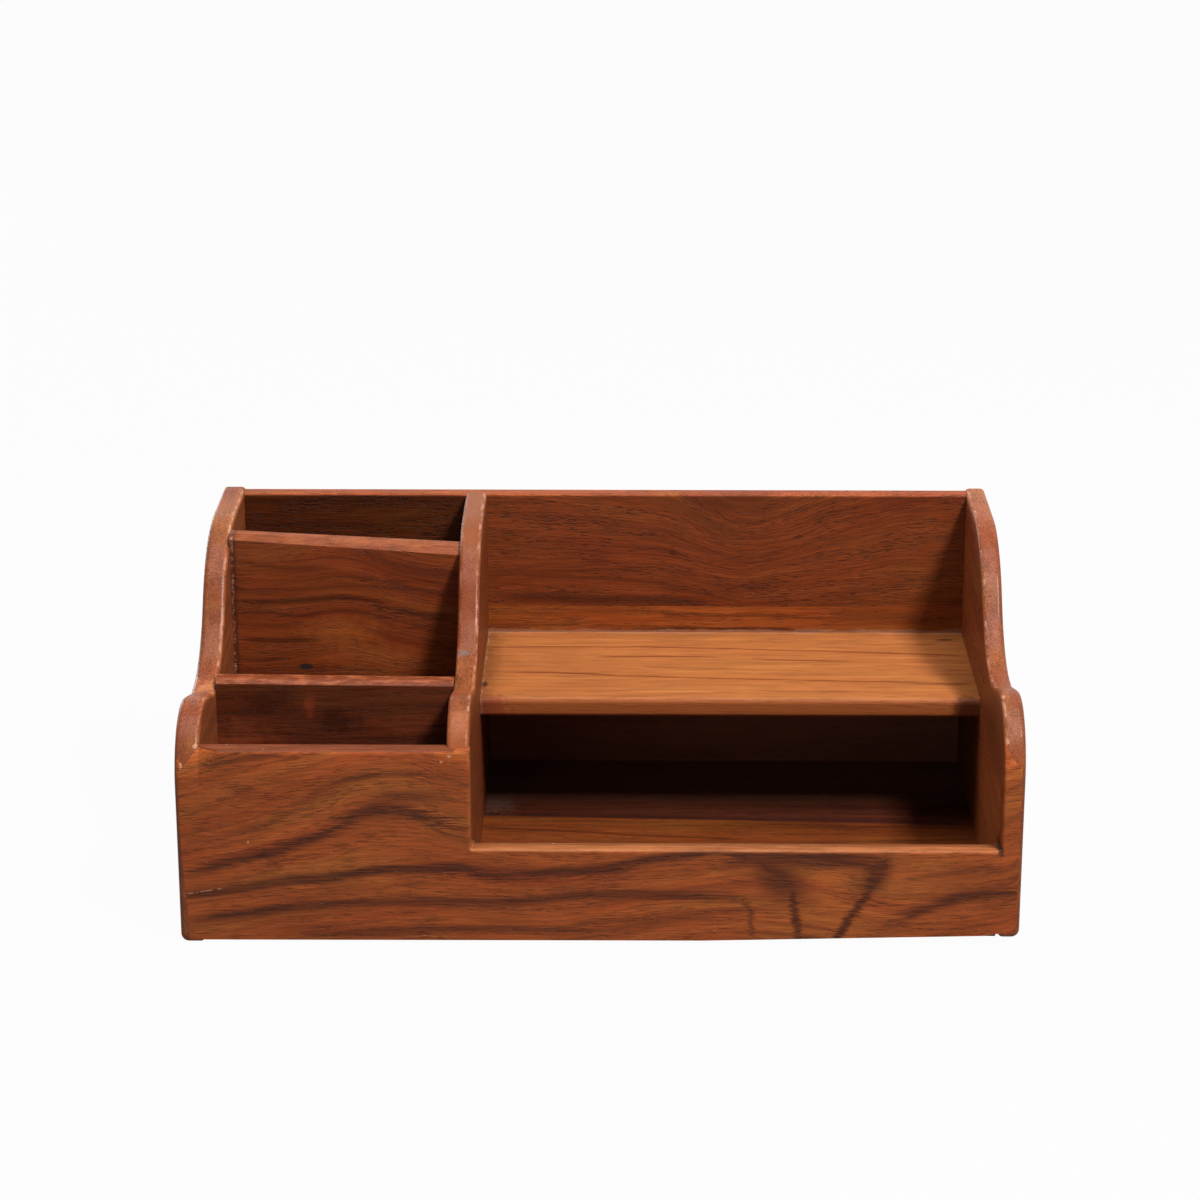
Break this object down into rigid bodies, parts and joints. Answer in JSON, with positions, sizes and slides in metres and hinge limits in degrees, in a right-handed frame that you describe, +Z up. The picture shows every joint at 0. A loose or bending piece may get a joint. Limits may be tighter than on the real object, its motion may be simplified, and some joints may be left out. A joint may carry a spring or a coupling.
{
  "type": "desk organizer",
  "caption": "Open wooden desk organizer: a narrow pen bay with cross boards beside a wide open bay with a rear shelf, between S-curved sides.",
  "frame": {"origin": "bottom centre of the bounding box, on the surface that the organizer stands on", "axes": "+X to the user's right along the front panel, +Y from the front panel to the back, +Z up"},
  "size_m": [0.406, 0.228, 0.1625],
  "materials": {
    "side_wood": "oiled, satin, edges worn paler",
    "front_wood": "oiled, satin, dark flowing grain",
    "inner_wood": "oiled, satin"
  },
  "bodies": {
    "root": {"left_side": "side_wood", "right_side": "side_wood", "centre_divider": "side_wood", "front_panel": "front_wood", "back_lower_board": "inner_wood", "back_upper_board": "inner_wood", "floor_front_board": "inner_wood", "floor_rear_board": "inner_wood", "shelf": "inner_wood", "rear_slot_board": "inner_wood", "front_slot_board": "inner_wood"}
  },
  "joints": []
}
